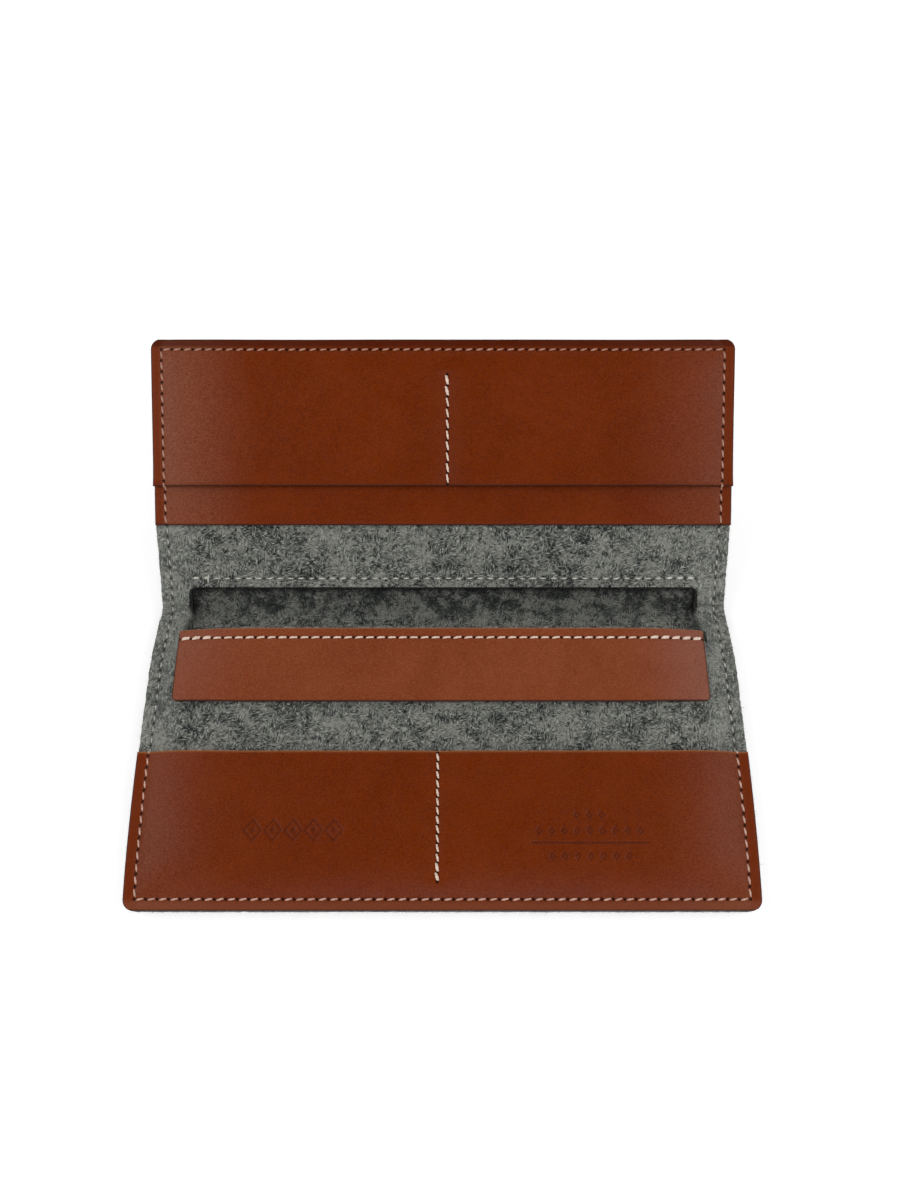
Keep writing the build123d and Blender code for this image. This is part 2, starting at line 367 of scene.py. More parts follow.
def strip_high(x, run):
    """Visible face of the strip."""
    return strip_low(x, run) + LEATHER - 0.2 * trough(run - STRIP_SEAM, 1.1)


# ---- Meshes ----


def lines(low, high, step, origin=0.0, extra=()):
    """Grid lines from low to high, in step with the origin, and extra ones where shapes need them."""
    first = math.ceil((low - origin) / step)
    last = math.floor((high - origin) / step)
    regular = [origin + step * i for i in range(first, last + 1)]
    wanted = sorted({low, high, *[e for e in extra if low < e < high]})
    kept = [r for r in regular if min(abs(r - w) for w in wanted) > 0.3]
    return np.array(sorted(kept + wanted))


def add(name, data):
    """New object in the scene."""
    made = bpy.data.objects.new(name, data)
    bpy.context.scene.collection.objects.link(made)
    return made


def make_mesh(name, points, faces, flats, rims, material, creases=()):
    """Mesh object that keeps each vertex's place on the flat cut, and the rim's share."""
    mesh = bpy.data.meshes.new(name)
    mesh.from_pydata(points.tolist(), [], faces)
    flat = mesh.attributes.new("flat", "FLOAT_VECTOR", "POINT")
    flat.data.foreach_set("vector", flats.astype(np.float32).ravel())
    rim = mesh.attributes.new("rim", "FLOAT", "POINT")
    rim.data.foreach_set("value", rims.astype(np.float32))
    mesh.polygons.foreach_set("use_smooth", np.ones(len(mesh.polygons), bool))
    mesh.materials.append(material)
    if len(creases):
        ends = np.zeros(len(mesh.edges) * 2, int)
        mesh.edges.foreach_get("vertices", ends)
        ends = np.sort(ends.reshape(-1, 2), axis=1)
        creases = np.sort(creases, axis=1)
        count = len(points)
        sharp = np.isin(ends[:, 0] * count + ends[:, 1], creases[:, 0] * count + creases[:, 1])
        mesh.attributes.new("sharp_edge", "BOOLEAN", "EDGE").data.foreach_set("value", sharp)
    mesh.update()
    mesh.validate()
    return add(name, mesh)


def touching(cells, side):
    """Cells whose neighbour on one side, (dx, dr), is missing."""
    padded = np.pad(cells, 1)
    dx, dr = side
    rows, cols = cells.shape
    neighbour = padded[1 + dx : 1 + dx + rows, 1 + dr : 1 + dr + cols]
    return cells & ~neighbour


# A cell's four sides, by the direction out of it: the grid points that each runs between
SIDES = {
    (0, -1): ((0, 0), (1, 0)),
    (1, 0): ((1, 0), (1, 1)),
    (0, 1): ((1, 1), (0, 1)),
    (-1, 0): ((0, 1), (0, 0)),
}


def outward(cells):
    """Direction out of a sheet at each grid point of its edge, 0 elsewhere."""
    shape = (cells.shape[0] + 1, cells.shape[1] + 1, 2)
    total = np.zeros(shape)
    for side, (a, b) in SIDES.items():
        i, j = np.nonzero(touching(cells, side))
        for corner in (a, b):
            np.add.at(total, (i + corner[0], j + corner[1]), side)
    return np.clip(total, -1, 1)


def slab(
    name, xs, runs, low, high, material,
    whole=None, part=None, edge=LEATHER_EDGE, fray=0.0, outline=leaf_outline,
):
    """Closed sheet on a grid, with a rounded rim. part picks a piece of the whole sheet."""
    gx, gr = np.meshgrid(xs, runs, indexing="ij")
    cx, cr = np.meshgrid((xs[1:] + xs[:-1]) / 2, (runs[1:] + runs[:-1]) / 2, indexing="ij")
    sheet_cells = whole(cx, cr) if whole else np.ones_like(cx, bool)
    cells = sheet_cells & part(cx, cr) if part else sheet_cells
    out = outward(sheet_cells)
    ci, cj = np.nonzero(cells)
    used = np.zeros(gx.shape, bool)
    for di, dj in ((0, 0), (1, 0), (1, 1), (0, 1)):
        used[ci + di, cj + dj] = True
    count = int(used.sum())
    index = np.full(gx.shape, -1)
    index[used] = np.arange(count)
    x, run, out = gx[used], gr[used], out[used]
    rises = np.stack([high(x, run), low(x, run)])
    top = np.stack([index[ci, cj], index[ci + 1, cj], index[ci + 1, cj + 1], index[ci, cj + 1]], 1)
    starts, ends, inner = [], [], []
    for side, (a, b) in SIDES.items():
        i, j = np.nonzero(touching(cells, side))
        starts.append(index[i + a[0], j + a[1]])
        ends.append(index[i + b[0], j + b[1]])
        inner.append(~touching(sheet_cells, side)[i, j])
    starts, ends, inner = np.concatenate(starts), np.concatenate(ends), np.concatenate(inner)
    cuts = np.stack([starts[inner], ends[inner]], 1)
    border = np.unique(starts)
    ring = np.full(count, -1)
    ring[border] = np.arange(len(border))
    steps = 6
    ratio = [math.pi * (0.5 - k / steps) for k in range(1, steps)]
    points = [place(x, run, rises[0], outline), place(x, run, rises[1], outline)]
    flats = [np.stack([x, run, rises[0]], 1), np.stack([x, run, rises[1]], 1)]
    on_rim = np.zeros(count)
    on_rim[border] = 0.35 * (np.abs(out[border]).sum(axis=1) > 0)
    rims = [on_rim, on_rim]
    bx, br, bo = x[border], run[border], out[border]
    middle = rises[:, border].mean(axis=0)
    half = (rises[0, border] - rises[1, border]) / 2
    is_edge = np.abs(bo).sum(axis=1) > 0
    for k, phi in enumerate(ratio):
        hashed = np.sin(bx * 127.1 + br * 311.7 + k * 74.7) * 43758.5
        push = edge * math.cos(phi) ** 0.8 + 3 * fray * (hashed - np.floor(hashed) - 0.5)
        ex, er = bx + bo[:, 0] * push, br + bo[:, 1] * push
        er = np.clip(er, -LOWER_REACH, UPPER_REACH)
        rise = middle + half * math.sin(phi)
        points.append(place(ex, er, rise, outline))
        flats.append(np.stack([ex, er, rise], 1))
        rims.append(1.0 * is_edge)
    levels = [lambda v: v]
    for k in range(steps - 1):
        levels.append(lambda v, k=k: 2 * count + k * len(border) + ring[v])
    levels.append(lambda v: v + count)
    faces = [top, (top + count)[:, ::-1]]
    for upper, lower in zip(levels, levels[1:]):
        faces.append(np.stack([upper(ends), upper(starts), lower(starts), lower(ends)], 1))
    points, faces, flats, rims = [np.concatenate(a) for a in (points, faces, flats, rims)]
    creases = np.concatenate([cuts, cuts + count])
    return make_mesh(name, points, faces.tolist(), flats, rims, material, creases)


def stitched(name, seams, material, slant=0.3, tight=0.6, thick=THREAD, gap=0.07, outline=leaf_outline):
    """Mesh of many stitches. A seam is (starts, ends, surface, side): the holes on the flat cut that
    each stitch joins, the rise its thread lies on, and 1 for the inside or -1 for the outside."""
    along, around = 13, 10
    plies, twist, groove = 2, 1.1, 0.16
    s = np.linspace(0, 1, along)
    theta = np.linspace(0, 2 * np.pi, around, endpoint=False)
    all_points, all_flats = [], []
    for starts, ends, surface, side in seams:
        starts, ends = np.asarray(starts, float), np.asarray(ends, float)
        step = ends - starts
        length = np.linalg.norm(step, axis=1, keepdims=True)
        across = np.stack([-step[:, 1], step[:, 0]], 1) / length
        wobble = rng.normal(scale=0.05, size=(len(starts), 1))
        shift = (s[None, :, None] - 0.5) * 2 * (slant + wobble)[:, :, None] * across[:, None, :]
        flat = starts[:, None, :] + step[:, None, :] * (gap + (1 - 2 * gap) * s)[None, :, None] + shift
        fat = rng.normal(1, 0.05, size=(len(starts), 1))
        arch = np.sin(np.pi * s) ** tight
        height = (arch[None, :] * (thick * 0.75 + 0.75) - 0.75) * np.ones((len(starts), 1))
        x, run = flat[..., 0], flat[..., 1]
        base = surface(x, run)
        centre = place(x, run, base + side * height, outline)
        up = unit(place(x, run, base + side * (height + 1), outline) - centre)
        ahead = unit(np.gradient(centre, axis=1))
        beside = unit(np.cross(ahead, up))
        up = np.cross(beside, ahead)
        lobes = 1 + groove * np.cos(plies * (theta[None, :] - 2 * np.pi * s[:, None] * twist))
        taper = 0.55 + 0.45 * np.sin(np.pi * np.clip(s, 0.02, 0.98)) ** 0.5
        radius = thick * MM * lobes[None] * taper[None, :, None] * fat[:, :, None]
        ring = (np.cos(theta) * radius)[..., None] * beside[:, :, None, :]
        ring = ring + (np.sin(theta) * radius)[..., None] * up[:, :, None, :]
        all_points.append((centre[:, :, None, :] + ring).reshape(-1, 3))
        spots = np.stack([x, run, base], -1)[:, :, None, :] * np.ones((1, 1, around, 1))
        spots[..., 2] = side * (STITCH_START + s[None, :, None] * length[:, :, None])
        all_flats.append(spots.reshape(-1, 3))
    points = np.concatenate(all_points)
    stitches = len(points) // (along * around)
    i, k = np.meshgrid(np.arange(along - 1), np.arange(around), indexing="ij")
    near, far, following = i * around, (i + 1) * around, (k + 1) % around
    quad = np.stack([near + k, near + following, far + following, far + k], -1).reshape(-1, 4)
    offsets = np.arange(stitches)[:, None, None] * along * around
    faces = (quad[None] + offsets).reshape(-1, 4).tolist()
    caps = np.arange(around)
    for n in range(stitches):
        first = n * along * around
        faces.append((caps[::-1] + first).tolist())
        faces.append((caps + first + (along - 1) * around).tolist())
    return make_mesh(name, points, faces, np.concatenate(all_flats), np.zeros(len(points)), material)


def row(first, last, count, fixed, along_x):
    """Starts and ends of one straight seam's stitches."""
    marks = np.linspace(first, last, count + 1)
    still = np.full(count + 1, float(fixed))
    holes = np.stack([marks, still] if along_x else [still, marks], 1)
    return holes[:-1], holes[1:]


# ---- Materials ----


class Nodes:
    """Short ways to add and join the nodes of one material."""

    def __init__(self, name, tones=None):
        self.tones = tones
        self.material = bpy.data.materials.new(name)
        self.material.use_nodes = True
        self.tree = self.material.node_tree
        self.shader = self.tree.nodes["Principled BSDF"]
        self.flat = self.attribute("flat", "Vector")

    def node(self, kind, **inputs):
        """Adds a node, with some of its inputs set or joined."""
        made = self.tree.nodes.new("ShaderNode" + kind)
        for name, value in inputs.items():
            self.link(value, made.inputs[name])
        return made

    def attribute(self, name, output):
        node = self.node("Attribute")
        node.attribute_name = name
        return node.outputs[output]

    def link(self, value, socket):
        """Gives a socket a number, a colour or another node's output."""
        if isinstance(value, bpy.types.NodeSocket):
            self.tree.links.new(value, socket)
        else:
            socket.default_value = value

    def set(self, name, value):
        """Sets one input of the material's shader."""
        self.link(value, self.shader.inputs[name])

    def calc(self, operation, *values):
        node = self.node("Math")
        node.operation = operation
        for value, socket in zip(values, node.inputs):
            self.link(value, socket)
        return node.outputs[0]

    plus = functools.partialmethod(calc, "ADD")
    minus = functools.partialmethod(calc, "SUBTRACT")
    times = functools.partialmethod(calc, "MULTIPLY")

    def apart(self, first, second):
        """Distance between two values."""
        return self.calc("ABSOLUTE", self.minus(first, second))

    def most(self, *values):
        return functools.reduce(lambda first, second: self.calc("MAXIMUM", first, second), values)

    def split(self, vector):
        return self.node("SeparateXYZ", Vector=vector).outputs

    def scaled(self, vector, factors):
        node = self.node("VectorMath")
        node.operation = "MULTIPLY"
        self.link(vector, node.inputs[0])
        node.inputs[1].default_value = factors
        return node.outputs[0]

    def turned(self, vector, degrees, factors):
        """A vector turned about the sheet's normal, then stretched."""
        turn = (0, 0, math.radians(degrees))
        node = self.node("Mapping", Vector=vector, Rotation=turn, Scale=factors)
        node.vector_type = "TEXTURE"
        return node.outputs[0]

    def noise(self, size, detail=3.0, roughness=0.55, vector=None, distortion=0.0):
        """Noise whose features are about size millimetres across."""
        vector = self.flat if vector is None else vector
        node = self.node("TexNoise", Vector=vector, Scale=1 / size, Detail=detail)
        node.inputs["Roughness"].default_value = roughness
        node.inputs["Distortion"].default_value = distortion
        return node.outputs["Fac"]

    def cells(self, size):
        """Distance from the middles of cells about size millimetres across."""
        return self.node("TexVoronoi", Vector=self.flat, Scale=1 / size).outputs["Distance"]

    def span(self, value, low, high, to_low=0.0, to_high=1.0, eased=False):
        """Takes a value from one range to another, clamped."""
        node = self.node("MapRange")
        if eased:
            node.interpolation_type = "SMOOTHSTEP"
        for value_in, socket in zip((value, low, high, to_low, to_high), node.inputs):
            self.link(value_in, socket)
        return node.outputs["Result"]

    def mix(self, share, first, second):
        """The first colour, with a share of the second."""
        node = self.node("Mix")
        node.data_type = "RGBA"
        self.link(share, node.inputs["Factor"])
        self.link(first, node.inputs["A"])
        self.link(second, node.inputs["B"])
        return node.outputs["Result"]

    def start(self, share):
        """Begins the colour, between the dark tone and the light one."""
        self.colour = self.mix(share, self.tones["dark"], self.tones["light"])

    def tint(self, share, tone):
        """Takes the colour a share of the way to a tone, given by name or as it is."""
        self.colour = self.mix(share, self.colour, self.tones.get(tone, tone))

    def bump(self, height, depth, normal=None):
        """Bump whose full height is depth millimetres."""
        node = self.node("Bump", Distance=depth * MM, Height=height)
        if normal is not None:
            self.link(normal, node.inputs["Normal"])
        return node.outputs["Normal"]

    def hole(self, along, across, pitch, first, centre, limits):
        """Round holes along one seam: 1 inside each and 0 outside."""
        place_in = self.calc("DIVIDE", self.minus(along, first), pitch)
        part = self.minus(place_in, self.calc("ROUND", place_in))
        off = self.times(part, pitch)
        side = self.minus(across, centre)
        far = self.calc("SQRT", self.plus(self.calc("POWER", off, 2.0), self.calc("POWER", side, 2.0)))
        inside = self.span(far, HOLE * 0.7, HOLE * 1.35, 1.0, 0.0, eased=True)
        above = self.calc("GREATER_THAN", along, limits[0] - 0.6)
        below = self.calc("LESS_THAN", along, limits[1] + 0.6)
        return self.times(inside, self.times(above, below))

    def edge_holes(self):
        """Holes of the seam round the organizer."""
        x, run, _ = self.split(self.flat)
        side = self.calc("ABSOLUTE", x)
        sides = self.hole(run, side, SIDE_PITCH, LOWER_SEAM, SEAM_X, (LOWER_SEAM, UPPER_SEAM))
        rows = [self.hole(x, run, PITCH, 0.0, seam, (-SEAM_X, SEAM_X)) for seam in (LOWER_SEAM, UPPER_SEAM)]
        return self.most(sides, *rows)

    def divider_holes(self, centre, first, last, count):
        """Holes of a divider seam."""
        x, run, _ = self.split(self.flat)
        return self.hole(run, x, (last - first) / count, first, centre, (first, last))

    def cross_holes(self, run_line, half):
        """Holes of a seam that runs along the fold."""
        x, run, _ = self.split(self.flat)
        return self.hole(x, run, 2 * half / CROSS_STITCHES, -half, run_line, (-half, half))


def felt_material(name):
    """Mottled grey wool felt: soft clouds under short tangled fibres, matt."""
    n = Nodes(name, FELT_TONE)
    cloud = n.noise(9.0, 2.0, 0.5, distortion=0.4)
    blotch = n.noise(3.6, 3.0, 0.6, distortion=0.6)
    clump = n.noise(1.5, 3.0, 0.65, n.turned(n.flat, 35, (1.8, 1, 1)), distortion=0.6)
    hairs = [n.noise(0.44, 2.0, 0.6, n.turned(n.flat, angle, (3.6, 1, 1))) for angle in (15, 80, 140)]
    lean = n.span(n.noise(4.0, 1.0, 0.5), 0.46, 0.54)
    turning = n.times(n.minus(hairs[1], hairs[0]), lean)
    nap = n.times(n.plus(hairs[0], turning), 0.65)
    nap = n.plus(nap, n.times(hairs[2], 0.35))
    soft = n.plus(n.times(cloud, 0.9), n.times(blotch, 0.9))
    grain = n.plus(soft, n.times(clump, 0.9))
    grain = n.plus(grain, n.times(nap, 3.4))
    n.start(n.span(grain, 2.65, 3.38))
    n.tint(n.span(soft, 0.90, 1.08, 0.0, 0.35), "cloud")
    n.tint(n.span(soft, 0.90, 0.76, 0.0, 0.12), "dark")
    n.tint(n.span(nap, 0.56, 0.62, 0.0, 0.8), "pale")
    n.tint(n.span(nap, 0.44, 0.38, 0.0, 0.8), "deep")
    x, run, rise = n.split(n.flat)
    side = n.calc("ABSOLUTE", x)
    inside = n.times(n.calc("LESS_THAN", run, WINDOW_EDGE + 0.1), n.calc("LESS_THAN", side, WINDOW_HALF))
    inside = n.times(inside, n.calc("GREATER_THAN", rise, -FELT / 2))
    # Painted light: the felt's inside faces are lightened along both side margins, from a little inside the
    # window's sides outwards, where more light falls on them.
    painted_wing_light = n.times(n.span(side, WINDOW_HALF - 4, WINDOW_HALF, 0.0, 0.13), n.span(rise, -FELT / 2, -0.5))
    n.tint(painted_wing_light, "pale")
    groove = n.apart(side, SEAM_X)
    n.tint(n.span(groove, 0.7, 0.3, 0.0, 0.4), "deep")
    # Painted shade: the outer felt seen through the window is darkened, rising from just below the fold's
    # middle line to full strength from there up to the window's upper edge, for the shade in that recess.
    painted_hollow_shade = n.times(n.span(run, -4.0, 6.0, 0.0, 1.0, eased=True), inside)
    painted_hollow_shade = n.times(painted_hollow_shade, n.span(soft, 0.98, 0.80, 0.2, 0.75))
    n.tint(painted_hollow_shade, "dark")
    under = n.span(run, WINDOW_EDGE - 3.5, WINDOW_EDGE - 1.0, eased=True)
    beside = n.span(side, WINDOW_HALF - 2.4, WINDOW_HALF - 0.2, eased=True)
    beside = n.times(beside, n.span(run, 1.0, 4.0))
    shade = n.times(n.most(under, beside), inside)
    n.tint(n.times(shade, 0.9), "shade")
    # Painted shade: the stitch holes are darkened to the hole tone, for the shade inside them.
    holes = n.most(n.edge_holes(), n.cross_holes(WINDOW_SEAM, WINDOW_SEAM_HALF))
    n.tint(n.times(holes, 0.75), "hole")
    n.set("Base Color", n.colour)
    n.set("Roughness", 0.95)
    n.set("Specular IOR Level", 0.12)
    n.set("Sheen Weight", 0.12)
    n.set("Sheen Roughness", 0.55)
    n.set("Sheen Tint", (0.8, 0.82, 0.8, 1))
    height = n.plus(n.times(n.span(clump, 0.3, 0.7), 0.6), n.span(nap, 0.35, 0.65))
    height = n.minus(height, n.times(holes, 0.9))
    n.set("Normal", n.bump(height, 0.6, n.bump(blotch, 0.7)))
    return n.material


def leather_material(name, tone, holes, gloss=0.36, ornament=None, mouth=None, ends=(0.8, 0.35)):
    """Vegetable-tanned leather: fine pores, faint streaks and clouds, dark burnished edges.

    holes and ornament give nodes. The cut edge at the run named mouth is left unfinished and pale,
    its paleness partly a painted highlight where the mouth faces the light, and ends are the shares of
    painted sheen at the left end and the right.
    """
    n = Nodes(name, tone)
    x, run, _ = n.split(n.flat)
    cloud = n.noise(24.0, 4.0, 0.6, distortion=0.4)
    patch = n.noise(7.0, 4.0, 0.6)
    streak = n.noise(2.2, 4.0, 0.65, n.scaled(n.flat, (0.16, 1.0, 1.0)))
    speck = n.noise(0.5, 3.0, 0.65, n.turned(n.flat, 10, (1.4, 1, 1)))
    pores = n.cells(0.9)
    n.start(n.span(cloud, 0.38, 0.62))
    n.tint(n.span(patch, 0.42, 0.6, 0.0, 0.4), "warm")
    n.tint(n.span(streak, 0.52, 0.7, 0.0, 0.35), "light")
    n.tint(n.span(speck, 0.47, 0.35, 0.0, 0.45), "deep")
    n.tint(n.span(speck, 0.53, 0.65, 0.0, 0.7), "raised")
    n.tint(n.span(pores, 0.18, 0.04, 0.0, 0.75), "deep")
    # Painted sheen: towards both ends the panels are lightened in grainy flecks to the sheen tone, standing
    # in for the side lights' highlight on the curving leather. ends gives each end's share, and the left
    # share grows towards the upper leaf.
    sheen_grain = n.span(speck, 0.40, 0.60, 0.55, 1.25)
    left = n.times(n.span(x, -62.0, -92.0, 0.0, ends[0], eased=True), n.span(run, -45.0, 40.0, 0.4, 1.0))
    n.tint(n.times(left, sheen_grain), "worn")
    right = n.span(x, 62.0, 92.0, 0.0, ends[1], eased=True)
    n.tint(n.times(right, sheen_grain), "worn")
    # Beyond the side seams the colour goes most of the way back to the warm tone, so the painted sheen stops
    # at the seams.
    n.tint(n.span(n.calc("ABSOLUTE", x), SEAM_X - 0.5, SEAM_X + 1.5, 0.0, 0.8), "warm")
    # Painted sheen: the margin below the lower seam is lightened, as it slopes towards the front light.
    n.tint(n.span(run, LOWER_SEAM + 0.6, LOWER_SEAM - 1.6, 0.0, 0.55, eased=True), "worn")
    # Painted shade: the margin beyond the upper seam is darkened, as it slopes away from the light.
    n.tint(n.span(run, UPPER_SEAM + 0.2, UPPER_SEAM + 1.6, 0.0, 0.8, eased=True), "deep")
    burnt = n.span(n.attribute("rim", "Fac"), 0.02, 0.9, eased=True)
    edge = tone["edge"]
    # The mouth's cut edge takes the pale tan tone: partly unfinished leather, partly a painted highlight
    # where the mouth faces the light. Other cut edges keep the dark burnished tone.
    if mouth is not None:
        raw = n.span(n.apart(run, mouth), 0.8, 1.6, 1.0, 0.0)
        edge = n.mix(raw, edge, tone["raw"])
    n.tint(n.times(burnt, 0.9), edge)
    # Painted shade: the stitch holes are darkened to the hole tone, for the shade inside them.
    pierced = holes(n)
    n.tint(n.times(pierced, 0.93), "hole")
    if ornament is not None:
        n.tint(n.times(ornament(n, x, run), 0.42), "deep")
    n.set("Base Color", n.colour)
    n.set("Roughness", n.span(n.noise(4.0, 4.0, 0.65), 0.35, 0.65, gloss - 0.06, gloss + 0.08))
    n.set("Specular IOR Level", 0.10)
    grain = n.plus(n.times(n.span(pores, 0.0, 0.4), 0.55), n.times(speck, 0.6))
    height = n.minus(grain, n.times(pierced, 3.0))
    n.set("Normal", n.bump(height, 0.14, n.bump(n.noise(11.0, 4.0, 0.6), 0.45)))
    return n.material


def thread_material(name, tone, on_felt=None):
    """Waxed linen thread; on_felt is its tone where it crosses felt, whose fibres dull it."""
    n = Nodes(name, tone)
    _, run, along = n.split(n.flat)
    fibre = n.noise(0.22, 3.0, 0.6, n.scaled(n.flat, (1.0, 1.0, 2.0)))
    soil = n.noise(12.0, 2.0, 0.5)
    n.start(n.span(fibre, 0.3, 0.7))
    n.tint(n.span(soil, 0.4, 0.7, 0.0, 0.35), "soiled")
    if on_felt:
        # Painted shade: the edge seam's thread darkens towards the upper leaf's end, in the same tone that
        # marks random soil above.
        n.tint(n.span(run, -70.0, 90.0, 0.0, 0.65), "soiled")
        felt = n.mix(n.span(fibre, 0.3, 0.7), on_felt["dark"], on_felt["light"])
        above = n.calc("GREATER_THAN", run, LOWER_MOUTH)
        between = n.times(above, n.calc("LESS_THAN", run, REAR_MOUTH))
        outside = n.calc("LESS_THAN", along, 0.0)
        n.tint(n.most(between, outside), felt)
    n.set("Base Color", n.colour)
    n.set("Roughness", 0.62)
    n.set("Specular IOR Level", 0.3)
    n.set("Normal", n.bump(fibre, 0.08))
    return n.material


def fibre_material(name):
    """Single wool fibres, grey."""
    n = Nodes(name, FIBRE_TONE)
    n.start(n.noise(0.9, 1.0))
    n.set("Base Color", n.colour)
    n.set("Roughness", 0.8)
    return n.material


def ornament_tint(n, x, run):
    """Where the lower panel's pressed ornament lies, from 0 to 1, as nodes."""

    def within(distance, limit):
        return n.span(distance, limit, limit + ORNAMENT_SOFT, 1.0, 0.0, eased=True)

    def lozenges(centre, line_run, half_width, pitch, size, line):
        step = n.calc("DIVIDE", n.minus(x, centre), pitch)
        off = n.apart(step, n.calc("ROUND", step))
        reach = n.plus(n.times(off, pitch * LOZENGE_SLOPE), n.apart(run, line_run))
        near = n.calc("LESS_THAN", n.apart(x, centre), half_width)
        return n.times(within(n.apart(reach, size), line), near)

    centre, line_run, half_width, line = RULE
    rule = n.times(within(n.apart(run, line_run), line), within(n.apart(x, centre), half_width))
    return n.most(rule, *[lozenges(*values) for values in LOZENGES])


def tones(**colours):
    """Colours by name, with their alpha."""
    return {name: (*colour, 1) for name, colour in colours.items()}


# The felt's shade tone is painted shadow under the window's edges, and its hole tone is painted shade in the
# stitch holes.
FELT_TONE = tones(
    dark=(0.013, 0.016, 0.016),
    light=(0.292, 0.302, 0.268),
    cloud=(0.245, 0.25, 0.21),
    pale=(0.46, 0.47, 0.43),
    deep=(0.012, 0.014, 0.014),
    shade=(0.004, 0.004, 0.004),
    hole=(0.014, 0.015, 0.014),
)
# Leather tones below hold a painted sheen tone for the panels' ends and lower margin, a pale tan mouth-edge
# tone that is partly a painted highlight, and a near-black tone of painted shade for the stitch holes.
POCKET_TONE = tones(
    dark=(0.1255, 0.017, 0.0006),
    light=(0.1495, 0.0215, 0.0009),
    warm=(0.1375, 0.018, 0.0006),
    deep=(0.06, 0.007, 0.0006),
    raised=(0.185, 0.029, 0.003),
    worn=(0.2, 0.061, 0.03),
    edge=(0.03, 0.0075, 0.003),
    raw=(0.33, 0.13, 0.05),
    hole=(0.006, 0.003, 0.002),
)
STRIP_TONE = tones(
    dark=(0.1815, 0.0395, 0.0125),
    light=(0.2135, 0.0515, 0.0185),
    warm=(0.1895, 0.0405, 0.0115),
    deep=(0.11, 0.021, 0.005),
    raised=(0.245, 0.073, 0.032),
    worn=(0.23, 0.088, 0.06),
    edge=(0.04, 0.012, 0.006),
    raw=(0.3, 0.14, 0.08),
    hole=(0.006, 0.003, 0.002),
)
THREAD_TONE = tones(
    dark=(0.62, 0.46, 0.37),
    light=(0.92, 0.76, 0.63),
    soiled=(0.66, 0.44, 0.34),
)
# The edge seam's thread: a darker copy of the thread's tones, painted shade for stitches drawn deep into the
# seam. Its soil tone also paints shade.
SHADED_EDGE_THREAD_TONE = tones(
    dark=(0.4, 0.24, 0.18),
    light=(0.78, 0.53, 0.43),
    soiled=(0.3, 0.13, 0.08),
)
SUNK_THREAD_TONE = tones(
    dark=(0.26, 0.26, 0.23),
    light=(0.58, 0.57, 0.51),
)
FELT_THREAD_TONE = tones(
    dark=(0.36, 0.35, 0.3),
    light=(0.88, 0.86, 0.77),
    soiled=(0.3, 0.29, 0.25),
)
FIBRE_TONE = tones(
    dark=(0.05, 0.05, 0.05),
    light=(0.3, 0.3, 0.28),
)

outer_felt = felt_material("outer_felt")
inner_felt = felt_material("inner_felt")
thread = thread_material("thread", THREAD_TONE)
# The edge seam's thread is painted darker, for the shade where its stitches sink deep.
shaded_edge_thread = thread_material("shaded_edge_thread", SHADED_EDGE_THREAD_TONE, SUNK_THREAD_TONE)
felt_thread = thread_material("felt_thread", FELT_THREAD_TONE)
fibre_wool = fibre_material("fibre_wool")
lower_leather = leather_material(
    "lower_leather", POCKET_TONE, lambda n: n.most(n.edge_holes(), n.divider_holes(*LOWER_DIVIDER)),
    ornament=ornament_tint, mouth=LOWER_MOUTH,
)
upper_leather = leather_material(
    "upper_leather", POCKET_TONE, lambda n: n.most(n.edge_holes(), n.divider_holes(*UPPER_DIVIDER))
)
strip_leather = leather_material(
    "strip_leather", STRIP_TONE, lambda n: n.cross_holes(STRIP_SEAM, STRIP_SEAM_HALF),
    gloss=0.33, mouth=LIP_EDGE, ends=(0.6, 0.8),
)

# ---- Pieces ----


def both_sides(values):
    """Grid lines on the left and on the right."""
    return [side * value for side in (-1, 1) for value in values]


# Extra grid lines: by the window's sides, the side margins, the dividers, the end seams and the fold
near_window = both_sides([WINDOW_HALF - d for d in (2.7, 2.0, 1.4, 0.9, 0.4, 0.0)])
near_side = both_sides([TRAY_SPLIT_X, 95.0, 95.6, SEAM_X, 96.8, 97.4, 98.4, 99.2])
near_dividers = [c + d for c in (LOWER_DIVIDER_X, UPPER_DIVIDER_X) for d in (-0.7, 0.0, 0.7)]
felt_xs = lines(-HALF + FELT_EDGE, HALF - FELT_EDGE, PITCH / 3, 0.0, near_window + near_side)
near_ends = [LOWER_SEAM + d for d in (-2.4, -1.2, -0.6, 0.0, 0.6, 1.2)]
near_ends += [UPPER_SEAM + d for d in (-1.2, -0.6, 0.0, 0.6, 1.2, 1.7, 2.1, 2.4, 2.7, 2.85)]
near_ends += [LOWER_SEAM - d for d in (1.7, 2.1, 2.7, 2.85)]
near_fold = [TRAY_SPLIT_RUN, LIP_EDGE, -SPLIT, 0.0, SPLIT, WINDOW_EDGE, WINDOW_SEAM]
near_fold += [CREASE_RUN + CREASE_LENGTH * i / 6 for i in range(7)]
felt_runs = lines(
    -LOWER_REACH + FELT_EDGE, UPPER_REACH - FELT_EDGE, SIDE_PITCH / 3, LOWER_SEAM, near_ends + near_fold
)


def felt_slab(name, low, high, material, **how):
    """A sheet of felt on the felts' own grid."""
    return slab(name, felt_xs, felt_runs, low, high, material, edge=FELT_EDGE, fray=FRAY, **how)


def outside_window(x, run):
    """Whether a place is on the inner felt, outside its window."""
    return ~((np.abs(x) < WINDOW_HALF) & (run > LIP_EDGE) & (run < WINDOW_EDGE))


def in_tray(x, run):
    """Whether a place is on the inner felt's part that stays on the lower leaf."""
    return (run < TRAY_SPLIT_RUN) | ((np.abs(x) < TRAY_SPLIT_X) & (run < LIP_EDGE))


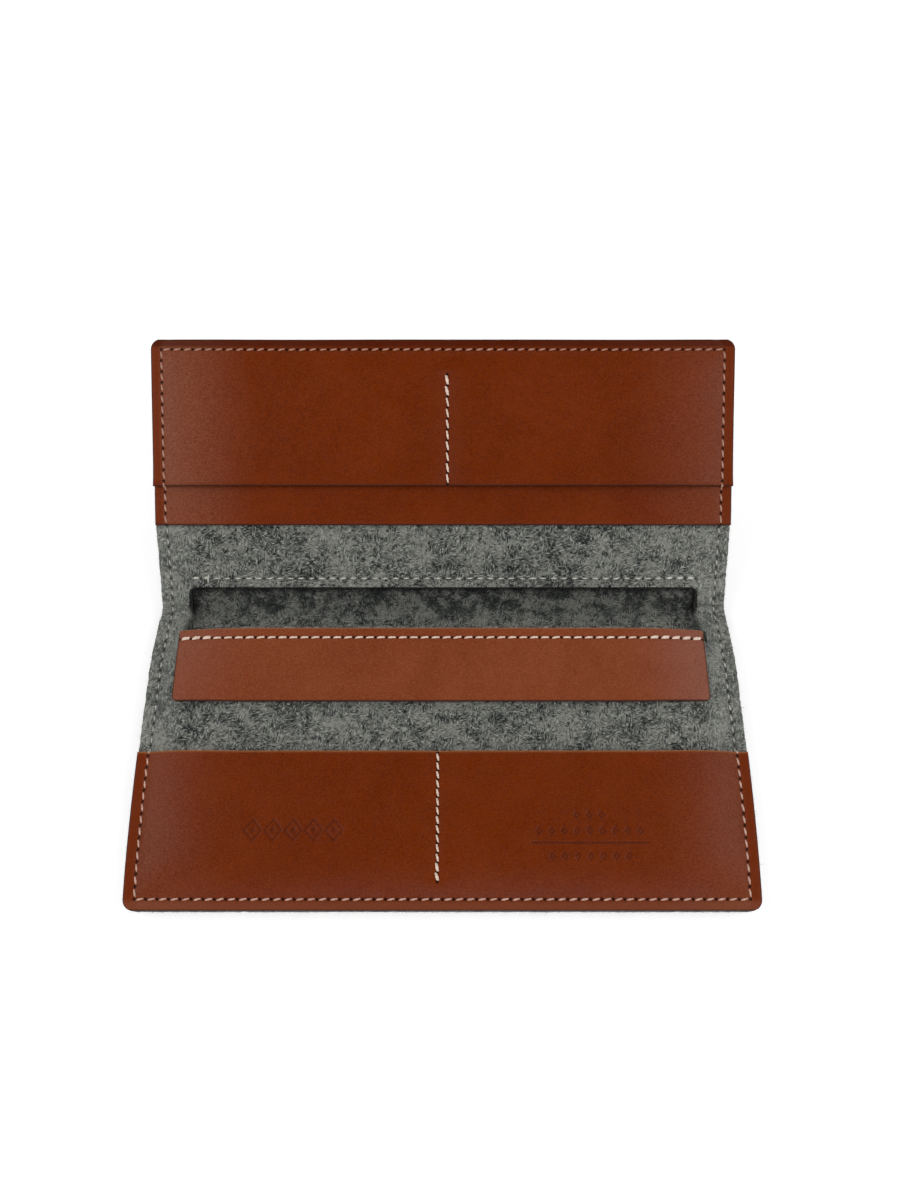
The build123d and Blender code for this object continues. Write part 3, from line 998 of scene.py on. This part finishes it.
# A zone round each of the fold's hinges: name, bodies either side, hinge, and which places are in it
ZONES = [
    ("lower", "lower_leaf", "fold_lower", -HINGE_RUN, lambda x, run: run < -SPLIT),
    ("fold", "fold_lower", "fold_upper", 0.0, lambda x, run: np.abs(run) < SPLIT),
    ("upper", "fold_upper", "upper_leaf", HINGE_RUN, lambda x, run: run > SPLIT),
]


def bend(piece, zone):
    """Bakes a piece's placement into its mesh. The places either side of its zone's hinge are worked out but
    not used, and the piece is not bent.
    """
    _, first, second, hinge, _ = zone
    spot(hinge - BLEND_REACH)
    spot(hinge + BLEND_REACH)
    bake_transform(piece)


zone_ends = {"lower": (-LOWER_REACH, -SPLIT), "fold": (-SPLIT, SPLIT), "upper": (SPLIT, UPPER_REACH)}
zone_bands = {"lower": ("lower", "fold_lower"), "fold": ("fold_upper",), "upper": ("upper",)}


def cad_nodes(kind, name):
    """CAD pieces of one kind that lie in one zone."""
    return [f"{kind}_{band}" for band in zone_bands[name]]


for zone in ZONES:
    name, inside = zone[0], zone[4]
    felt = felt_slab(f"outer_felt_{name}_sheet", outer_low, outer_high, outer_felt, part=inside)
    bend(felt, zone)
    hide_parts(*cad_nodes("outer_felt", name))

tray = felt_slab(
    "inner_felt_pocket_sheet", inner_low, inner_high, inner_felt,
    whole=outside_window, part=in_tray, outline=tray_outline,
)
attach(tray, "lower_leaf")
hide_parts("inner_felt_lower")

for zone in ZONES:
    name, inside = zone[0], zone[4]
    felt = felt_slab(
        f"inner_felt_{name}_sheet", inner_low, inner_high, inner_felt, whole=outside_window,
        part=lambda x, run: inside(x, run) & ~in_tray(x, run), outline=window_outline,
    )
    bend(felt, zone)
    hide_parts(cad_nodes("inner_felt", name)[-1])


def panel(name, mouth, reach, low, high, material, body, node, fine=((), ())):
    """One leather panel, sewn on three sides. fine gives extra grid lines, across and along."""
    inner, outer = sorted((mouth, reach))
    end = HALF - LEATHER_EDGE - CLEAR
    xs = lines(-end, end, PITCH / 3, 0.0, [*near_side, *near_dividers, *fine[0]])
    first, last = inner + LEATHER_EDGE, outer - LEATHER_EDGE - CUT_BACK
    runs = lines(first, last, SIDE_PITCH / 3, LOWER_SEAM, [*near_ends, *fine[1]])
    made = slab(name, xs, runs, low, high, material)
    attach(made, body)
    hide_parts(node)


def stretch(centre, half):
    """Close grid lines round a centre."""
    return np.arange(centre - half, centre + half, ORNAMENT_STEP)


ornament_lines = (
    [*stretch(ORNAMENT_X[0], 16.3), *stretch(ORNAMENT_X[1], 19.0)],
    stretch(ORNAMENT_RUN, 7.7),
)
lower_high = panel_high(lower_panel_low)
rear_high = panel_high(rear_panel_low)
front_high = panel_high(front_panel_low)
panel(
    "lower_pocket_leather", LOWER_MOUTH, -LOWER_REACH + CUT_BACK, lower_panel_low, lower_panel_high,
    lower_leather, "lower_leaf", "lower_pocket_panel", ornament_lines,
)
panel(
    "rear_pocket_leather", REAR_MOUTH, UPPER_REACH, rear_panel_low, rear_high,
    upper_leather, "upper_leaf", "rear_pocket_panel",
)
panel(
    "front_pocket_leather", FRONT_MOUTH, UPPER_REACH, front_panel_low, front_high,
    upper_leather, "upper_leaf", "front_pocket_panel",
)


def strip_outline(x, run):
    """The strip's outline: rounded corners at its loose edge, slighter ones at its sewn edge."""
    loose, sewn = STRIP_CORNERS
    foot = np.clip(loose - (run - STRIP_FOOT), 0, loose)
    head = np.clip(sewn - (LIP_EDGE - CLEAR - run), 0, sewn)
    cut = loose - np.sqrt(loose**2 - foot**2) + sewn - np.sqrt(sewn**2 - head**2)
    return x * (1 - cut / STRIP_HALF) * STRIP_STRETCH + STRIP_SHIFT[0], run + STRIP_SHIFT[1]


strip_end = STRIP_HALF - LEATHER_EDGE
strip_xs = lines(-strip_end, strip_end, PITCH / 3, 0.0, both_sides([STRIP_HALF - 2.5, STRIP_HALF - 1.2]))
strip_runs = lines(
    STRIP_FOOT + LEATHER_EDGE, LIP_EDGE - CLEAR - LEATHER_EDGE, 1.2, STRIP_SEAM,
    [STRIP_SEAM + d for d in (-1.2, -0.6, 0.6, 1.2)] + [STRIP_FOOT + d for d in (0.8, 1.2, 1.7)],
)
strip = slab(
    "strip_leather_piece", strip_xs, strip_runs, strip_low, strip_high, strip_leather, outline=strip_outline
)
hinge_at, loose_at = (spot(run, strip_low(0.0, run)) for run in (STRIP_HINGE, STRIP_HINGE - STRIP_BEND))
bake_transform(strip)
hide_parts("strip_band", "strip_flap")

# ---- Thread ----


def inside_face(x, run):
    """Rise of what lies uppermost along the edge seam, less on felt, where stitches sink in."""
    on_upper = np.where(run > FRONT_MOUTH, front_high(x, run), rear_high(x, run))
    on_leaf = np.where(run > REAR_MOUTH, on_upper, inner_high(x, run) - FELT_SINK)
    return np.where(run < LOWER_MOUTH, lower_high(x, run), on_leaf) - 0.08


def outside_face(x, run):
    """Rise of the outside stitches."""
    return outer_low(x, run) + 0.1


def tacked(starts, ends, first, last):
    """The stitches at a seam's ends a second time, beside the first, as a tailor locks it."""
    picked = list(range(first)) + list(range(len(starts) - last, len(starts)))
    step = ends[picked] - starts[picked]
    beside = np.stack([-step[:, 1], step[:, 0]], 1) * 0.09
    return starts[picked] + beside + step * 0.04, ends[picked] + beside + step * 0.04


def edge_seams(inside):
    """The edge seam's stitches in one zone, on both faces."""
    seams = []
    for side in (-1, 1):
        starts, ends = row(LOWER_SEAM, UPPER_SEAM, SIDE_STITCHES, side * SEAM_X, along_x=False)
        middle = (starts + ends) / 2
        chosen = inside(middle[:, 0], middle[:, 1])
        for surface, face in ((inside_face, 1), (outside_face, -1)):
            seams.append((starts[chosen], ends[chosen], surface, face))
    for line in (LOWER_SEAM, UPPER_SEAM):
        starts, ends = row(-SEAM_X, SEAM_X, END_STITCHES, line, along_x=True)
        chosen = inside(starts[:, 0], starts[:, 1])
        if chosen.any():
            for surface, face in ((inside_face, 1), (outside_face, -1)):
                seams.append((starts, ends, surface, face))
    return seams


for zone in ZONES:
    name, inside = zone[0], zone[4]
    seam = stitched(f"edge_stitches_{name}", edge_seams(inside), shaded_edge_thread, gap=0.11)
    bend(seam, zone)
    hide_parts(*cad_nodes("edge_seam", name))


def locked_row(first, last, count, fixed, along_x, surface, tacks):
    """One inside seam and the doubled stitches at its ends."""
    starts, ends = row(first, last, count, fixed, along_x)
    again = tacked(starts, ends, *tacks)
    return [(starts, ends, surface, 1), (*again, lambda x, run: surface(x, run) + 0.06, 1)]


def window_face(x, run):
    """Rise of the inside stitches along the window, sunk in the felt."""
    return inner_high(x, run) - FELT_SINK


window_row = (-WINDOW_SEAM_HALF, WINDOW_SEAM_HALF, CROSS_STITCHES, WINDOW_SEAM, True)
window_seams = locked_row(*window_row, window_face, (2, 3))
window_seams.append((*row(*window_row), outside_face, -1))
window_seams.append((*LOOSE_TACK, lambda x, run: window_face(x, run) + 0.55, 1))
window_stitches = stitched("window_stitches", window_seams, felt_thread, slant=0.15, thick=0.27)
bend(window_stitches, ZONES[2])
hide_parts("window_seam")

strip_row = (-STRIP_SEAM_HALF, STRIP_SEAM_HALF, CROSS_STITCHES, STRIP_SEAM, True)
strip_seams = locked_row(*strip_row, lambda x, run: strip_high(x, run) - 0.03, (3, 5))
strip_stitches = stitched(
    "strip_stitches", strip_seams, thread, slant=0.14, tight=0.4, thick=0.34, gap=0.11, outline=strip_outline
)
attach(strip_stitches, "lower_leaf")
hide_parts("strip_seam")

for name, divider, surface, body, node, tacks in (
    ("lower_divider_stitches", LOWER_DIVIDER, lower_high, "lower_leaf", "lower_divider_seam", (2, 0)),
    ("upper_divider_stitches", UPPER_DIVIDER, front_high, "upper_leaf", "upper_divider_seam", (0, 2)),
):
    x, first, last, count = divider
    seams = locked_row(first, last, count, x, False, surface, tacks)
    seam = stitched(name, seams, thread, tight=0.4, thick=0.36)
    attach(seam, body)
    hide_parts(node)

# ---- Loose fibres ----


def fibres(name, roots, leans, lengths, material):
    """Fine bent fibres from roots on the flat cut, leaning the way given there."""
    along, around = 4, 3
    size = along * around
    s = np.linspace(0, 1, along)[None, :, None]
    bends = rng.normal(scale=0.45, size=roots.shape)
    paths = roots[:, None, :] + lengths[:, None, None] * (leans[:, None, :] * s + bends[:, None, :] * s**2)
    spine = place(paths[..., 0], paths[..., 1], paths[..., 2])
    spine[..., 2] = np.maximum(spine[..., 2], 0.05 * MM)
    ahead = unit(np.gradient(spine, axis=1))
    askew = np.array([0.31, 0.47, 0.83])
    beside = unit(np.cross(ahead, askew))
    other = np.cross(ahead, beside)
    radius = 0.035 * MM * (1.1 - 0.8 * s) * rng.uniform(0.6, 1.3, size=(len(roots), 1, 1))
    corners = [2 * math.pi * k / around for k in range(around)]
    rings = np.stack([spine + radius * (math.cos(c) * beside + math.sin(c) * other) for c in corners], 2)
    points = rings.reshape(-1, 3)
    pairs = [(around * i + k, around * i + (k + 1) % around) for i in range(along - 1) for k in range(around)]
    one = np.array([(a, b, b + around, a + around) for a, b in pairs])
    firsts = np.arange(len(roots)) * size
    faces = (one[None] + firsts[:, None, None]).reshape(-1, 4).tolist()
    for first in firsts.tolist():
        last = first + size
        faces.append([first + 2, first + 1, first])
        faces.append([last - 3, last - 2, last - 1])
    flats = np.repeat(paths.reshape(-1, 3), around, axis=0)
    return make_mesh(name, points, faces, flats, np.zeros(len(points)), material)


def edge_fibres(first, last, density):
    """Roots and leans of fibres round the felt's cut edge between two runs."""
    count = int(density * (last - first) * 2)
    run = rng.uniform(first, last, count)
    side = rng.choice([-1.0, 1.0], count)
    depth = FELT - 0.2
    inset = 0.3
    roots = [np.stack([side * (HALF - inset), run, rng.uniform(-depth, depth, count)], 1)]
    leans = [np.stack([side, rng.normal(scale=0.5, size=count), rng.normal(scale=0.4, size=count)], 1)]
    for end, out in ((-LOWER_REACH, -1.0), (UPPER_REACH, 1.0)):
        if first <= end <= last:
            count = int(density * 50)
            x = rng.uniform(-95, 95, count)
            root_run = np.full(count, end - out * inset)
            roots.append(np.stack([x, root_run, rng.uniform(-depth, depth, count)], 1))
            across = rng.normal(scale=0.5, size=count)
            leans.append(np.stack([across, np.full(count, out), rng.normal(scale=0.4, size=count)], 1))
    return np.concatenate(roots), np.concatenate(leans)


fibre_density = 18
for zone in ZONES:
    name = zone[0]
    roots, leans = edge_fibres(*zone_ends[name], fibre_density)
    lengths = np.clip(rng.exponential(0.42, len(roots)), 0.15, 1.5)
    fuzz = fibres(f"felt_fibres_{name}", roots, leans, lengths, fibre_wool)
    bend(fuzz, zone)

# ---- Stage ----


def light(name, location, size, power):
    """Square area light that faces the organizer."""
    data = bpy.data.lights.new(name, "AREA")
    data.size = size
    data.energy = power
    lamp = add(name, data)
    lamp.location = location
    lamp.rotation_euler = (-Vector(location)).to_track_quat("-Z", "Y").to_euler()


FLOOR_HALF = 3.0  # metres
FLOOR_DROP = 0.6  # below the table plane, because the fold dips a little as it opens flat
floor_mesh = bpy.data.meshes.new("floor")
floor_corners = [(a * FLOOR_HALF, b * FLOOR_HALF, 0) for a, b in ((-1, -1), (1, -1), (1, 1), (-1, 1))]
floor_mesh.from_pydata(floor_corners, [], [(0, 1, 2, 3)])
floor = add("floor", floor_mesh)
floor.location.z = -FLOOR_DROP * MM
n = Nodes("floor")
n.set("Base Color", (0.62, 0.62, 0.62, 1))
n.set("Roughness", 0.9)
n.set("Emission Color", (1, 1, 1, 1))
n.set("Emission Strength", 0.52)
floor_mesh.materials.append(n.material)

light("back", (0.0, 1.15, 0.80), 1.0, 7.6)
light("left", (-0.95, -0.05, 0.90), 0.9, 8.2)
light("right", (0.95, -0.10, 0.90), 0.9, 7.8)
light("front", (0.1, -1.25, 0.70), 1.0, 9.0)
world = bpy.data.worlds.new("studio")
world.use_nodes = True
sky = world.node_tree
background = sky.nodes["Background"]
background.inputs["Color"].default_value = (1, 1, 1, 1)
direction = sky.nodes.new("ShaderNodeSeparateXYZ")
fade = sky.nodes.new("ShaderNodeMapRange")
for socket, value in (("From Min", 0.0), ("From Max", 0.4), ("To Min", 0.62), ("To Max", 0.03)):
    fade.inputs[socket].default_value = value
sky.links.new(sky.nodes.new("ShaderNodeTexCoord").outputs["Generated"], direction.inputs[0])
sky.links.new(direction.outputs["Z"], fade.inputs["Value"])
sky.links.new(fade.outputs["Result"], background.inputs["Strength"])
bpy.context.scene.world = world
bpy.context.scene.view_settings.view_transform = "Standard"

CAMERA_PLACE = (2.4 * MM, -110.1 * MM, 303.3 * MM)
CAMERA_AIM = (0, 0.3805, -0.9247)
camera_data = bpy.data.cameras.new("camera")
camera_data.lens = 27.03
camera_data.sensor_width = 36.0
camera_data.clip_start = 0.01
camera = add("camera", camera_data)
camera.location = CAMERA_PLACE
camera.rotation_euler = Vector(CAMERA_AIM).to_track_quat("-Z", "Y").to_euler()
bpy.context.scene.camera = camera
